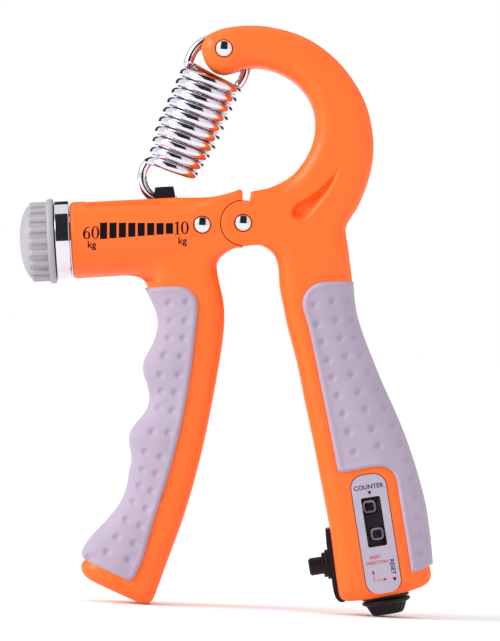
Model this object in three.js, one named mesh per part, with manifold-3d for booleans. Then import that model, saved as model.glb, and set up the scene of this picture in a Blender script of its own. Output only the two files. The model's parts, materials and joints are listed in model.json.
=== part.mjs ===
// Hand grip strengthener: two levers on one pivot, squeezed against an extension spring. A knob and lead
// screw move the spring's lower end along a barrel to set the force, and a counter in the right lever
// counts the squeezes.
// Millimetres. Working frame: origin at the pivot, +X towards the counter lever, -Y the front face, +Z up.
import * as THREE from 'three';
import { mergeVertices } from 'three/addons/utils/BufferGeometryUtils.js';
import Module from 'manifold-3d';

const wasm = await Module();
wasm.setup();

// ---- driving dimensions ----
const GAP = 0.3; // clearance between neighbouring pieces
const BODY_DEPTH = 9.5; // half thickness of both levers
const PAD_DEPTH = 10.6; // half thickness over the grip pads
const CORE_DEPTH = 8; // half thickness of the shells under the pads
const HOLLOW_DEPTH = 6; // half thickness of the hollow inside the shells
const EDGE_CHAMFER = 2;
const KNUCKLE_RADIUS = 6.15;
const SEAT_RADIUS = 6.5; // the left lever's seat round the knuckle
const TONGUE_HALF = 4; // half thickness of the tongue between the two cheeks
const STOP_FACE = -0.2; // x of the left lever's stop lip
const PIN_RADIUS = 1.9;
const PIN_HEAD_RADIUS = 2.3;
const SPRING_PIN_RADIUS = 1.25;
const SPRING_PIN = [-5.2, 47.2]; // x, z of the pin in the head
const SCREW_END_PIN = [-11.1, -0.5];

const BARREL_START = [-45.8, -4.5]; // x, z on the barrel's axis
const BARREL_TILT = THREE.MathUtils.degToRad(3);
const BARREL_RADIUS = 10.3;
const BARREL_BORE = 7.5;
const BARREL_END = -0.9; // the distances here run along the barrel's axis from BARREL_START
const BORE_END = 33.3;
const SLOT_START = 3.2;
const SLOT_END = 32.6;
const SLOT_HALF = 4.4;
const SLIDER_MIDDLE = 25;
const SLIDER_LENGTH = 5.6;
const SCREW_RADIUS = 2.5;
const SCREW_HOLE = SCREW_RADIUS + GAP;
const COLLAR_RADIUS = 10.8;
const KNOB_RADIUS = 10.2;
const KNOB_FLANGE_RADIUS = 11.6;
const KNOB_RIBS = 16;

const WIRE_RADIUS = 1.2;
const LOOP_CENTRE = [-7.1, 42.6];
const LOOP_RADIUS = 7.75;
const LOOP_ROOM = { centre: [-7.85, 43.05], radius: 10.5 };
const COIL_TOP = [-8.1, 40.4]; // x, z of the coil's axis at its first turn
const COIL_TILT = THREE.MathUtils.degToRad(24); // from vertical, top towards +X
const COIL_TURNS = 10;
const COIL_PITCH = 2.84;
const COIL_RADIUS = 7.5;
const COIL_END_RADIUS = 6;
const LOOP_SHARE = 0.05; // of the coil's first turn, made with the loop
const HOOK_CENTRE = [-21.4, 12.4];
const HOOK_RADIUS = 6.1;

const COUNTER_PLACE = [35.9, -84.1]; // x, z of the label's middle, on the counter axle
const COUNTER_TILT = THREE.MathUtils.degToRad(9);
const LABEL = { width: 9.5, height: 32.4, corner: 3.5, depth: 0.8 };
const WINDOW = { width: 5.2, height: 13.5, corner: 1, up: 3.3 };
const DIGIT_WHEEL = { radius: 4.6, width: 6.2, y: -1 };
const UNITS_UP = -0.2; // heights on the axle, from the label's middle
const TENS_UP = 7.4;
const AXLE_RADIUS = 1;
const PLUNGER_UP = -6.5;
const PLUNGER = { cap: 2.4, shaft: 1.5, tip: -19.3, capEnd: -14.6, end: -5.6 };
const GUIDE = { bore: 2.7, tube: 3.4, collar: 4, front: -15.5, back: -8.8 };

const SCREW = { head: 1.8, shank: 1, headTop: 9.2, headBase: 7.9, end: -5 };
const LEFT_SCREWS = [[-8.6, -30], [-21.8, -88]];
const RIGHT_SCREWS = [[20.5, -6], [27, 30]];

// The left lever's foot and the reset knob's lower rim, which the part stands on, as x, z.
const LEFT_FOOT = [-26.3, -103.2];
const RIGHT_FOOT = [35, -106.5];

// ---- materials ----
const finish = (color, roughness, metalness = 0) =>
  new THREE.MeshStandardMaterial({ color, roughness, metalness });
const orange = finish(0xff7832, 0.42);
const softGrey = finish(0xb8abbb, 0.75);
const knobGrey = finish(0xb4b2ae, 0.6);
const black = finish(0x17161a, 0.45);
const chrome = finish(0xd8d8de, 0.12, 1);
const steel = finish(0x9a9a9e, 0.35, 1);
const brass = finish(0xb08d4a, 0.35, 1);
const white = finish(0xe9e7e4, 0.5);
const darkLens = finish(0x241f2b, 0.15);

// ---- shape helpers ----
const vector = ([x, z]) => new THREE.Vector2(x, z);
const straight = (...points) => points.map(vector);
const smooth = (perSpan, ...points) =>
  new THREE.SplineCurve(points.map(vector)).getPoints(perSpan * (points.length - 1));

function arc([x, z], radius, fromDegrees, toDegrees, steps) {
  return Array.from({ length: steps + 1 }, (_, i) => {
    const angle = THREE.MathUtils.degToRad(THREE.MathUtils.lerp(fromDegrees, toDegrees, i / steps));
    return new THREE.Vector2(x + radius * Math.cos(angle), z + radius * Math.sin(angle));
  });
}

// Drops points that lie on the one before, and moves each of the rest outwards by distance.
function grown(points, distance) {
  const kept = points.filter((point, i) => point.distanceTo(points.at(i - 1)) > 0.01);
  if (THREE.ShapeUtils.isClockWise(kept)) kept.reverse();
  return kept.map((point, i) => {
    const before = point.clone().sub(kept.at(i - 1)).normalize();
    const after = kept[(i + 1) % kept.length].clone().sub(point).normalize();
    const along = before.clone().add(after).normalize();
    const stretch = Math.max(0.6, Math.abs(along.dot(before)));
    return point.clone().add(new THREE.Vector2(along.y, -along.x).multiplyScalar(distance / stretch));
  });
}

// An x, z outline made into a plate from y = front to y = back, its two faces' edges chamfered by bevel.
function plate(points, front, back, bevel = 0) {
  const outline = grown(points, 0);
  const rounding = bevel > 0 ? [[0, 1], [1, 0]] : [[0, 0]];
  const layers = [
    ...rounding.map(([down, inset]) => [back - down * bevel, inset * bevel]),
    ...rounding.map(([down, inset]) => [front + down * bevel, inset * bevel]).reverse(),
  ];
  const count = outline.length;
  const corners = layers.flatMap(([y, inset]) =>
    grown(outline, -inset).flatMap((point) => [point.x, y, point.y]));
  const faces = THREE.ShapeUtils.triangulateShape(outline, []);
  const last = (layers.length - 1) * count;
  const triangles = faces.flatMap(([a, b, c]) => [a, c, b, last + a, last + b, last + c]);
  for (let start = 0; start < last; start += count) {
    for (let i = 0; i < count; i += 1) {
      const next = (i + 1) % count;
      triangles.push(start + i, start + next, start + count + i);
      triangles.push(start + next, start + count + next, start + count + i);
    }
  }
  const geometry = new THREE.BufferGeometry();
  geometry.setAttribute('position', new THREE.Float32BufferAttribute(corners, 3));
  return geometry.setIndex(triangles);
}

const box = (x, y, z) => new THREE.BoxGeometry(x[1] - x[0], y[1] - y[0], z[1] - z[0])
  .translate((x[0] + x[1]) / 2, (y[0] + y[1]) / 2, (z[0] + z[1]) / 2);

// A profile of [radius, distance] pairs turned about the x, y or z axis.
function turned(axis, profile, segments = 24) {
  const geometry = new THREE.LatheGeometry(profile.map(vector), segments);
  if (axis === 'x') geometry.rotateZ(-Math.PI / 2);
  if (axis === 'z') geometry.rotateX(Math.PI / 2);
  return geometry;
}
const cylinder = (axis, radius, from, to, segments) =>
  turned(axis, [[0, from], [radius, from], [radius, to], [0, to]], segments);
const ring = (axis, inner, outer, from, to, segments) =>
  turned(axis, [[inner, from], [outer, from], [outer, to], [inner, to], [inner, from]], segments);

const roundedRectangle = (width, height, corner, [x, z] = [0, 0]) => [
  ...arc([x + width / 2 - corner, z + height / 2 - corner], corner, 0, 90, 3),
  ...arc([x - width / 2 + corner, z + height / 2 - corner], corner, 90, 180, 3),
  ...arc([x - width / 2 + corner, z - height / 2 + corner], corner, 180, 270, 3),
  ...arc([x + width / 2 - corner, z - height / 2 + corner], corner, 270, 360, 3),
];

// A round wire along a curve.
function wire(curve, radius, steps, sides = 8) {
  const section = new THREE.Shape(arc([0, 0], radius, 0, 360 - 360 / sides, sides - 1));
  return new THREE.ExtrudeGeometry(section, { steps, extrudePath: curve, curveSegments: 1 });
}

// A closed geometry as a solid, its faces turned outwards.
function solid(geometry) {
  geometry.deleteAttribute('normal');
  geometry.deleteAttribute('uv');
  const merged = mergeVertices(geometry, 1e-4);
  const corner = (i) => new THREE.Vector3().fromBufferAttribute(merged.attributes.position, i);
  const triangles = [];
  let volume = 0;
  for (let i = 0; i < merged.index.count; i += 3) {
    const [a, b, c] = merged.index.array.slice(i, i + 3);
    if (a === b || b === c || c === a) continue;
    triangles.push(a, b, c);
    volume += corner(a).dot(corner(b).cross(corner(c)));
  }
  if (volume < 0) triangles.reverse();
  return new wasm.Manifold(new wasm.Mesh({
    numProp: 3,
    vertProperties: new Float32Array(merged.attributes.position.array),
    triVerts: new Uint32Array(triangles),
  }));
}
const join = (...geometries) => geometries.map(solid).reduce((whole, next) => whole.add(next));
const cut = (whole, ...geometries) =>
  geometries.reduce((rest, geometry) => rest.subtract(solid(geometry)), whole);

// ---- the assembly's groups ----
const grip = new THREE.Group();
const barrel = new THREE.Group();
barrel.position.set(BARREL_START[0], 0, BARREL_START[1]);
barrel.rotation.y = -BARREL_TILT;
const counter = new THREE.Group();
counter.position.set(COUNTER_PLACE[0], 0, COUNTER_PLACE[1]);
counter.rotation.y = -COUNTER_TILT;
grip.add(barrel, counter);
for (const group of [barrel, counter]) group.updateMatrix();
const onBarrel = (geometry) => geometry.applyMatrix4(barrel.matrix);
const onCounter = (geometry) => geometry.applyMatrix4(counter.matrix);
const atPoint = ([x, z], geometry) => geometry.translate(x, 0, z);
const onAxle = (geometry) => geometry.translate(0, DIGIT_WHEEL.y, 0);
const onPlunger = (geometry) => geometry.translate(0, 0, PLUNGER_UP);

function addPiece(name, shape, material, group = grip) {
  let geometry = shape;
  if (shape instanceof wasm.Manifold) {
    const { vertProperties, triVerts } = shape.getMesh();
    geometry = new THREE.BufferGeometry();
    geometry.setAttribute('position', new THREE.BufferAttribute(new Float32Array(vertProperties), 3));
    geometry.setIndex(new THREE.BufferAttribute(new Uint32Array(triVerts), 1));
    geometry.computeVertexNormals();
  }
  const mesh = new THREE.Mesh(geometry, material);
  mesh.name = name;
  group.add(mesh);
}

// Splits a lever down its middle plane into a front and a rear shell.
function addShells(name, lever, material) {
  const everything = [-300, 300];
  const front = box(everything, [-300, -GAP / 2], everything);
  const rear = box(everything, [GAP / 2, 300], everything);
  addPiece(`${name}_front_shell`, lever.intersect(solid(front)), material);
  addPiece(`${name}_rear_shell`, lever.intersect(solid(rear)), material);
}

// ---- left lever: barrel, boss and grip ----
const leftOutline = [
  ...straight([-30, 6.5], [-10.1, 7]),
  ...smooth(2, [-5.4, 7.7], [-2.6, 8.4], [STOP_FACE, 9.1]),
  ...straight([STOP_FACE, -6.6]),
  ...smooth(2, [-1.8, -6.6], [-3.9, -7.4], [-6.5, -9.6], [-7.2, -12.5], [-6.4, -17.7]),
  ...smooth(2, [-5.3, -24.5], [-6.1, -35.1], [-9.1, -52.6], [-13.2, -70], [-18.9, -87.4], [-24, -100.8]),
  ...smooth(2, [-25, -102.6], LEFT_FOOT, [-29.5, -102.4]),
  ...smooth(2, [-40.2, -97.7], [-43.5, -95.4], [-44.1, -93.2], [-43, -91.3]),
  ...straight([-38, -88.5], [-28.5, -70], [-24, -50], [-22, -30], [-25.4, -17.4], [-27.6, -15], [-30, -14.2]),
];
const leftPadOutline = [
  ...straight([-26.8, -17.6]),
  ...smooth(2, [-19.2, -17.2], [-15.4, -17.7], [-12.8, -19.6], [-12.2, -22.4]),
  ...smooth(2, [-13.9, -36.7], [-16.9, -55], [-21.6, -72.7], [-28.1, -92.1]),
  ...smooth(2, [-29.5, -95.7], [-31, -96.8], [-33, -96]),
  ...straight([-43.4, -91.1]),
  ...smooth(2, [-44, -89.5], [-41.5, -85.2], [-35.5, -78.7], [-32, -72.1], [-30.6, -64.5], [-31, -59],
    [-27.6, -52.4], [-25.7, -47.1], [-27.2, -39.5], [-24.6, -33], [-23.3, -27.5], [-24.6, -22.1],
    [-26.8, -17.6]),
];
const leftCore = [
  ...smooth(2, [-24, -14.5], [-20.8, -20], [-20, -27], [-22.4, -34], [-23.7, -40], [-22.4, -47], [-24.6, -54],
    [-27.6, -60], [-27.4, -66], [-29.4, -74], [-33.6, -80.5], [-39.2, -87.5], [-40.4, -92.4]),
  ...straight([-30, -98.2]),
  ...smooth(2, [-24.5, -93], [-17, -70], [-12, -52], [-9.2, -35], [-8.4, -22], [-10.5, -14.5]),
];
const leftHollow = [
  ...smooth(2, [-21.5, -17], [-18.2, -22], [-17.8, -28], [-20.2, -35], [-21.4, -41], [-20.2, -48],
    [-22.4, -55], [-25.3, -61], [-25.3, -67], [-27.3, -75], [-31.4, -81], [-36.4, -88], [-37.4, -91.5]),
  ...straight([-30, -95.2]),
  ...smooth(2, [-26, -91.5], [-19, -70], [-14.2, -53], [-11.4, -36], [-10.6, -23], [-12.5, -17]),
];

function makeLeftLever() {
  const barrelTube = onBarrel(cylinder('x', BARREL_RADIUS, BARREL_END, SLOT_END, 32));
  const padRoom = plate(grown(leftPadOutline, GAP), -20, 20);
  const core = plate(leftCore, -CORE_DEPTH, CORE_DEPTH);
  const block = plate(leftOutline, -BODY_DEPTH, BODY_DEPTH, EDGE_CHAMFER);
  const body = cut(join(block, barrelTube), padRoom).add(solid(core));
  const tongue = cylinder('y', KNUCKLE_RADIUS - GAP, -TONGUE_HALF, TONGUE_HALF);
  const seat = (from, to) => cylinder('y', SEAT_RADIUS, from, to, 32);
  const lever = cut(body, seat(-20, -TONGUE_HALF), seat(TONGUE_HALF, 20)).add(solid(tongue));
  return cut(
    lever,
    plate(leftHollow, -HOLLOW_DEPTH, HOLLOW_DEPTH),
    onBarrel(cylinder('x', BARREL_BORE, -5, BORE_END, 24)),
    onBarrel(box([SLOT_START, SLOT_END], [-SLOT_HALF, SLOT_HALF], [0, 20])),
    cylinder('y', PIN_RADIUS + GAP, -20, 20, 16),
    ...pinRoom(SCREW_END_PIN, PIN_RADIUS),
    ...LEFT_SCREWS.flatMap(screwRoom),
  );
}

// The bore and the two countersinks for a pin with domed heads.
function pinRoom(place, radius) {
  const seat = BODY_DEPTH - 1.6;
  return [
    atPoint(place, cylinder('y', radius + GAP, -20, 20, 16)),
    atPoint(place, cylinder('y', PIN_HEAD_RADIUS + 0.6, -20, -seat, 16)),
    atPoint(place, cylinder('y', PIN_HEAD_RADIUS + 0.6, seat, 20, 16)),
  ];
}

// The bore and the rear countersink for a shell screw.
function screwRoom(place) {
  return [
    atPoint(place, cylinder('y', SCREW.shank + GAP, SCREW.end - GAP, 20, 16)),
    atPoint(place, cylinder('y', SCREW.head + GAP, SCREW.headBase - GAP, 20, 16)),
  ];
}

function addScrew(name, place) {
  const { head, shank, headTop, headBase, end } = SCREW;
  const profile = [
    [0, end], [shank, end], [shank, headBase], [head, headBase], [head, headTop], [0, headTop],
  ];
  addPiece(name, join(atPoint(place, turned('y', profile, 16))), steel);
}

// A pin across both shells, with a domed head at each end.
function domedPin(place, radius) {
  const neck = BODY_DEPTH - 1.2;
  const dome = [[PIN_HEAD_RADIUS, 0], [PIN_HEAD_RADIUS, 1], [PIN_HEAD_RADIUS * 0.75, 1.6], [0, 2]];
  const top = dome.map(([r, up]) => [r, neck + up]);
  const bottom = dome.map(([r, up]) => [r, -neck - up]).reverse();
  return atPoint(place, turned('y', [...bottom, [radius, -neck], [radius, neck], ...top], 16));
}

addShells('left', makeLeftLever(), orange);
addPiece(
  'left_grip_pad',
  cut(
    join(plate(leftPadOutline, -PAD_DEPTH, PAD_DEPTH, EDGE_CHAMFER)),
    plate(grown(leftCore, GAP), -CORE_DEPTH - GAP, CORE_DEPTH + GAP),
  ),
  softGrey,
);
LEFT_SCREWS.forEach((place, i) => addScrew(`left_shell_screw_${i + 1}`, place));
addPiece('screw_end_pin', join(domedPin(SCREW_END_PIN, PIN_RADIUS)), chrome);
addPiece('pivot_pin', join(domedPin([0, 0], PIN_RADIUS)), chrome);

// ---- force adjuster on the barrel's axis ----
const spigot = BARREL_BORE - GAP;
addPiece('barrel_collar', join(turned('x', [
  [SCREW_HOLE, -5.1], [COLLAR_RADIUS - 0.5, -5.1], [COLLAR_RADIUS, -4.6], [COLLAR_RADIUS, -1.5],
  [COLLAR_RADIUS - 0.3, -1.2], [spigot, -1.2], [spigot, 2], [SCREW_HOLE, 2], [SCREW_HOLE, -5.1],
], 28)), chrome, barrel);

const knobCore = turned('x', [
  [0, -15], [5, -14.7], [8.2, -13.6], [9.6, -12], [KNOB_RADIUS, -9.5], [KNOB_RADIUS, -7.4],
  [KNOB_FLANGE_RADIUS, -7], [KNOB_FLANGE_RADIUS, -5.7], [KNOB_FLANGE_RADIUS - 0.3, -5.4], [0, -5.4],
], 28);
const knobRibs = Array.from({ length: KNOB_RIBS }, (_, i) =>
  box([-12, -7.2], [-0.8, 0.8], [6, KNOB_RADIUS + 0.7]).rotateX((2 * Math.PI * i) / KNOB_RIBS));
const knob = cut(join(knobCore, ...knobRibs), cylinder('x', SCREW_HOLE, -12, 0, 24));
addPiece('tension_knob', knob, knobGrey, barrel);

addPiece('lead_screw', join(cylinder('x', SCREW_RADIUS, -11.7, 31.5, 20)), steel, barrel);
addPiece('thrust_washer', join(ring('x', SCREW_HOLE, 6.4, 2.4, 3.2, 20)), steel, barrel);
addPiece('retaining_clip', join(ring('x', SCREW_HOLE, 4.2, 3.6, 4.4, 20)), steel, barrel);
addPiece('screw_end_bearing', join(ring('x', SCREW_HOLE, BARREL_BORE - GAP, 28.6, 32, 24)), brass, barrel);

// The slider nut: a round nut on the screw, two cheeks through the barrel's slot, and a bar over the
// spring's hook.
function makeSlider() {
  const half = SLIDER_LENGTH / 2;
  const ends = [SLIDER_MIDDLE - half, SLIDER_MIDDLE + half];
  const nut = cylinder('x', BARREL_BORE - 2 * GAP, ...ends, 24);
  const cheek = straight([ends[0], 4], [ends[1], 4], [ends[1], 11], [ends[1] - 0.3, 13.1],
    [ends[0] + 0.4, 13.1], [ends[0], 11]);
  const barEnds = [SLIDER_MIDDLE - 1.1, SLIDER_MIDDLE + 1.5];
  const bar = straight([barEnds[0], 12.2], [barEnds[0] + 0.9, 11.4], [barEnds[1] - 0.7, 11.4],
    [barEnds[1], 12], [barEnds[1], 13.1], [barEnds[0], 13.1]);
  const whole = join(nut, plate(cheek, -4, -1.8), plate(cheek, 1.8, 4), plate(bar, -3, 3));
  return cut(whole, cylinder('x', 4.6, 0, 40, 24));
}
addPiece('slider_nut', makeSlider(), black, barrel);
const threadInsert = ring('x', SCREW_HOLE, 4.3, SLIDER_MIDDLE - 2.6, SLIDER_MIDDLE + 2.6, 24);
addPiece('thread_insert', join(threadInsert), brass, barrel);

// ---- right lever: knuckle, arm, head and counter handle ----
const windowOutline = (margin) => roundedRectangle(
  WINDOW.width + 2 * margin, WINDOW.height + 2 * margin, WINDOW.corner, [0, WINDOW.up],
);
const rightOutline = [
  ...arc([0, 0], KNUCKLE_RADIUS, -90, -286, 20),
  ...straight([2.3, 8.5]),
  ...smooth(2, [4.3, 8.9], [8.8, 10.6], [14.8, 14.9], [18.6, 21.4], [19.4, 27], [18.4, 32.3], [15.4, 36.7],
    [8.8, 41], [4.5, 42], [0.7, 42], [-3.2, 40.8], [-5.8, 40.5], [-8.5, 41.4], [-10.8, 44], [-11.4, 47.8]),
  ...smooth(2, [-10, 50.9], [-6.3, 52.5], [0.7, 53.6], [7.3, 53.2], [12.6, 51.9], [18.1, 49.7], [24.1, 45.4],
    [29.8, 38.8], [33.6, 31.3], [35.1, 23.6], [35.2, 17.1], [33.6, 10.6], [30.9, 4], [28.6, 0.5], [27.7, -2.3],
    [28.2, -4.9], [29, -11.2], [29.5, -15.6]),
  ...straight([29, -24], [34.5, -42], [41.5, -60], [46.5, -75], [48.5, -90], [50.8, -93.2]),
  ...smooth(2, [51, -95.8], [49.7, -97.7], [46.6, -99.3], [42.5, -100.5], [37.2, -101.6], [31.9, -102.4]),
  ...smooth(2, [27.2, -102.4], [26, -100.8], [25.1, -96]),
  ...smooth(2, [22.7, -78.7], [19.4, -61.3], [15.6, -43.8], [11.6, -26.4], [9.9, -17.7]),
  ...smooth(2, [9.5, -13.4], [8.6, -9], [6.4, -6.9], [3.9, -6.1]),
];
const rightPadOutline = [
  ...smooth(2, [15.9, -22], [17.3, -18.6], [20.1, -16.7], [23.5, -16.1]),
  ...straight([29.6, -15.9]),
  ...smooth(2, [30.1, -19.9], [32, -28.6], [35.2, -37.3], [40.9, -50.4], [46.1, -63.4], [49.6, -76.5],
    [51.3, -89.5], [51.6, -92.6]),
  ...smooth(2, [46.3, -94.8], [45.2, -93.5], [42.8, -78.7], [41.3, -69.9], [39.6, -67], [36, -66]),
  ...smooth(2, [27.5, -67.5], [26, -67.4], [25.2, -66]),
  ...straight([21.2, -44.2]),
];
const rightCore = [
  ...smooth(2, [27, -14.5], [26.8, -21], [30.2, -33], [35.8, -46], [41.2, -59], [45.2, -72], [47.2, -85],
    [47.8, -95]),
  ...straight([45, -97.5], [29, -99.8]),
  ...smooth(2, [26.4, -85], [23, -66], [18.6, -44], [14, -24], [13, -14.5]),
];
const rightHollow = [
  ...smooth(2, [24.6, -18], [27.6, -33], [33.4, -46], [38.6, -59], [42.6, -72], [44.6, -84], [45, -95]),
  ...straight([30.2, -97.4]),
  ...smooth(2, [28.4, -84], [25.4, -66], [21, -44], [16.6, -24], [16.6, -18]),
];

function makeRightLever() {
  const padRoom = plate(grown(rightPadOutline, GAP), -20, 20);
  const core = plate(rightCore, -CORE_DEPTH, CORE_DEPTH);
  const block = plate(rightOutline, -BODY_DEPTH, BODY_DEPTH, EDGE_CHAMFER);
  const body = cut(join(block), padRoom).add(solid(core));
  const loopRoom = atPoint(LOOP_ROOM.centre, cylinder('y', LOOP_ROOM.radius, -1.8, 1.8, 28));
  const tongueRoom = cylinder('y', SEAT_RADIUS + 0.1, -TONGUE_HALF - GAP, TONGUE_HALF + GAP, 28);
  const labelRoom = plate(
    roundedRectangle(LABEL.width + 2 * GAP, LABEL.height + 2 * GAP, LABEL.corner + GAP),
    -20,
    -BODY_DEPTH + LABEL.depth + GAP,
  );
  return cut(
    body,
    plate(rightHollow, -HOLLOW_DEPTH, HOLLOW_DEPTH),
    loopRoom,
    tongueRoom,
    ...pinRoom([0, 0], PIN_RADIUS),
    ...pinRoom(SPRING_PIN, SPRING_PIN_RADIUS),
    ...RIGHT_SCREWS.flatMap(screwRoom),
    onCounter(labelRoom),
    onCounter(plate(windowOutline(GAP), -20, 0)),
    onCounter(onAxle(cylinder('z', AXLE_RADIUS + GAP, -30, -8, 16))),
    onCounter(onPlunger(cylinder('x', GUIDE.tube + GAP, -20, GUIDE.back + GAP, 24))),
    onCounter(onPlunger(cylinder('x', PLUNGER.shaft + GAP, -20, -2, 16))),
  );
}
addShells('right', makeRightLever(), orange);
addPiece(
  'right_grip_pad',
  cut(
    join(plate(rightPadOutline, -PAD_DEPTH, PAD_DEPTH, EDGE_CHAMFER)),
    plate(grown(rightCore, GAP), -CORE_DEPTH - GAP, CORE_DEPTH + GAP),
  ),
  softGrey,
);
RIGHT_SCREWS.forEach((place, i) => addScrew(`right_shell_screw_${i + 1}`, place));
addPiece('spring_pin', join(domedPin(SPRING_PIN, SPRING_PIN_RADIUS)), chrome);

// ---- spring: a loop round the head pin, a close coil, and a hook under the slider's bar ----
const coilAxis = new THREE.Vector3(-Math.sin(COIL_TILT), 0, -Math.cos(COIL_TILT));
const coilAcross = new THREE.Vector3(Math.cos(COIL_TILT), 0, -Math.sin(COIL_TILT));
const inPlane = (points) => points.map((point) => new THREE.Vector3(point.x, 0, point.y));

// A point of the coil, which starts at its left side and tapers over its last third.
function coilPoint(turn) {
  const taper = THREE.MathUtils.smoothstep(turn, COIL_TURNS * 0.62, COIL_TURNS);
  const radius = THREE.MathUtils.lerp(COIL_RADIUS, COIL_END_RADIUS, taper);
  const angle = 2 * Math.PI * turn;
  const point = new THREE.Vector3(COIL_TOP[0], 0, COIL_TOP[1]);
  point.addScaledVector(coilAxis, COIL_PITCH * turn).addScaledVector(coilAcross, -radius * Math.cos(angle));
  return point.setY(radius * Math.sin(angle));
}

// The loop round the head pin runs on into the coil's first LOOP_SHARE of a turn, and the coil starts just
// after it.
function addSpring() {
  const loop = inPlane(arc(LOOP_CENTRE, LOOP_RADIUS, -25, 160, 9));
  const lead = [0, LOOP_SHARE].map(coilPoint);
  const loopCurve = new THREE.CatmullRomCurve3([...loop, ...lead]);
  addPiece('spring_loop', join(wire(loopCurve, WIRE_RADIUS, 14, 6)), chrome);

  const pointsPerTurn = 12;
  const first = LOOP_SHARE + 0.01;
  const last = COIL_TURNS - 0.06;
  const count = Math.round(pointsPerTurn * (last - first));
  const coil = new THREE.CatmullRomCurve3(
    Array.from({ length: count + 1 }, (_, i) => coilPoint(THREE.MathUtils.lerp(first, last, i / count))),
  );
  coil.arcLengthDivisions = 2000;
  addPiece('spring_coil', join(wire(coil, WIRE_RADIUS, 120, 6)), chrome);
}
addSpring();
addPiece('spring_hook', join(wire(
  new THREE.CatmullRomCurve3(inPlane(arc(HOOK_CENTRE, HOOK_RADIUS, 135, 295, 12))),
  WIRE_RADIUS,
  16,
)), chrome);

// ---- counter, about its own axle: local z runs up the axle ----
const labelFront = -BODY_DEPTH - 0.1;
const labelOutline = roundedRectangle(LABEL.width, LABEL.height, LABEL.corner);
addPiece('counter_label', cut(
  join(plate(labelOutline, labelFront, -BODY_DEPTH + LABEL.depth)),
  plate(windowOutline(0), -20, 0),
), softGrey, counter);
const lens = plate(windowOutline(-GAP), labelFront + 0.4, labelFront + 1.6);
addPiece('counter_lens', join(lens), darkLens, counter);

const wheelProfile = (up) => [
  [AXLE_RADIUS + GAP, up - DIGIT_WHEEL.width / 2], [DIGIT_WHEEL.radius, up - DIGIT_WHEEL.width / 2],
  [DIGIT_WHEEL.radius, up + DIGIT_WHEEL.width / 2], [AXLE_RADIUS + GAP, up + DIGIT_WHEEL.width / 2],
  [AXLE_RADIUS + GAP, up - DIGIT_WHEEL.width / 2],
];
addPiece('units_wheel', join(onAxle(turned('z', wheelProfile(UNITS_UP), 20))), black, counter);
addPiece('tens_wheel', join(onAxle(turned('z', wheelProfile(TENS_UP), 20))), black, counter);

// The frame is a back plate with two ears that carry the axle.
const ear = (up) => box([-3.4, 3.4], [DIGIT_WHEEL.y - 2.4, 5], [up - 0.5, up + 0.5]);
const counterFrame = join(box([-5, 5], [4, 5], [-5, 12.2]), ear(-4.5), ear(11.7));
const axleHole = onAxle(cylinder('z', AXLE_RADIUS + GAP, -20, 20, 20));
addPiece('counter_frame', cut(counterFrame, axleHole), white, counter);

// The transfer pinion stands beside the two wheels on the counter frame.
const PINION_TEETH = 8;
const pinionOutline = Array.from({ length: PINION_TEETH * 4 }, (_, i) => {
  const angle = (2 * Math.PI * i) / (PINION_TEETH * 4);
  const radius = i % 4 < 2 ? 1.5 : 1.05;
  return new THREE.Vector2(radius * Math.cos(angle), radius * Math.sin(angle));
});
const pinionPlace = new THREE.Vector3(DIGIT_WHEEL.radius + 1.8, DIGIT_WHEEL.y, 2.6);
addPiece('transfer_pinion', join(new THREE.ExtrudeGeometry(new THREE.Shape(pinionOutline), {
  depth: 2, bevelEnabled: false,
}).translate(...pinionPlace)), brass, counter);

// The axle runs from the frame's upper ear out through the lever's foot into the reset knob.
addPiece('reset_axle', join(onAxle(cylinder('z', AXLE_RADIUS, -20.4, 12.8, 16))), steel, counter);
addPiece('reset_knob', cut(join(onAxle(turned('z', [
  [0, -22.3], [4, -22.3], [4.8, -21.6], [5.4, -19.9], [6.6, -19.2], [6.6, -18.2], [0, -18.2],
], 24))), onAxle(cylinder('z', AXLE_RADIUS + GAP, -20.7, 0, 16))), black, counter);

// ---- plunger that the other lever presses, with its guide and return spring ----
const { tip, cap, capEnd, shaft, end } = PLUNGER;
addPiece('plunger', join(onPlunger(turned('x', [
  [0, tip], [cap - 0.5, tip], [cap, tip + 0.5], [cap, capEnd], [shaft, capEnd], [shaft, end], [0, end],
], 24))), black, counter);

const guidePlate = box([-13.7, -12.8], [-6, 6], [-16.2, 2.4]);
const guideTube = onPlunger(cylinder('x', GUIDE.tube, GUIDE.front, GUIDE.back, 24));
const guideCollar = onPlunger(cylinder('x', GUIDE.collar, GUIDE.front + 1, -13, 24));
addPiece('plunger_guide', cut(
  join(guidePlate, guideTube, guideCollar),
  onPlunger(cylinder('x', GUIDE.bore, -20, GUIDE.back - 0.8, 24)),
  onPlunger(cylinder('x', shaft + GAP, -20, 0, 24)),
), black, counter);

function makeReturnSpring() {
  const turns = 3;
  const points = Array.from({ length: turns * 8 + 1 }, (_, i) => {
    const angle = (i * Math.PI) / 4;
    const along = THREE.MathUtils.lerp(capEnd + 0.6, GUIDE.back - 1.5, i / (turns * 8));
    return new THREE.Vector3(along, 2.15 * Math.sin(angle), 2.15 * Math.cos(angle));
  });
  return join(onPlunger(wire(new THREE.CatmullRomCurve3(points), 0.22, turns * 9, 5)));
}
addPiece('plunger_spring', makeReturnSpring(), steel, counter);

// ---- stance: turned until both feet are level, with the origin under the middle of the part ----
grip.rotation.y = Math.atan2(RIGHT_FOOT[1] - LEFT_FOOT[1], RIGHT_FOOT[0] - LEFT_FOOT[0]);
grip.updateMatrixWorld(true);
const extent = new THREE.Box3().setFromObject(grip, true);
const middle = extent.getCenter(new THREE.Vector3());
grip.position.set(-middle.x, -middle.y, -extent.min.z);

export default grip;
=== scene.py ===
"""Visual model of the hand grip strengthener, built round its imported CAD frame.

Shapes are drawn in millimetres in a working plane: origin at the pivot, x towards the counter lever, z up,
and the front face at negative y. `DESIGN` takes that plane into the frame.
"""

import json
import math

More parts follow.
